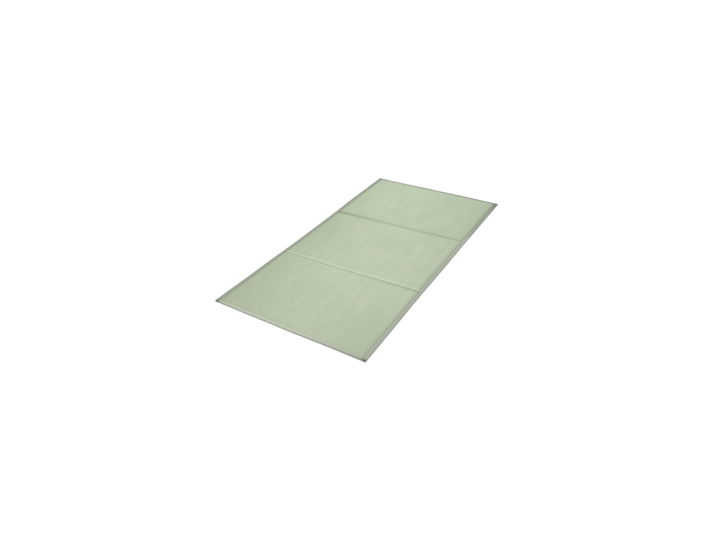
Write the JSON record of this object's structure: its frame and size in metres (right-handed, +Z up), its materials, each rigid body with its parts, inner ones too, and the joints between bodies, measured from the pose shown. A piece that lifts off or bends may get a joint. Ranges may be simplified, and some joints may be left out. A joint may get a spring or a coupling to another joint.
{
  "type": "folding tatami floor mat",
  "caption": "Flat folding floor mat of ribbed rush weave in three padded panels, with cloth tape bound round its edges, lying open.",
  "frame": {"origin": "on the floor, under the middle of the mat's outline", "axes": "+Z up from the floor, +Y along the mat's length towards the end with the soft, wide fold, +X across its width"},
  "size_m": [0.9076, 1.8048, 0.0113],
  "materials": {
    "rush": "pale green woven rush, ribbed lengthwise, slightly satin",
    "binding_tape": "matt greige woven cotton tape"
  },
  "bodies": {
    "root": {"rush_mat": "rush", "side_binding_left": "binding_tape", "side_binding_right": "binding_tape", "end_binding_near": "binding_tape", "end_binding_far": "binding_tape"}
  },
  "joints": []
}
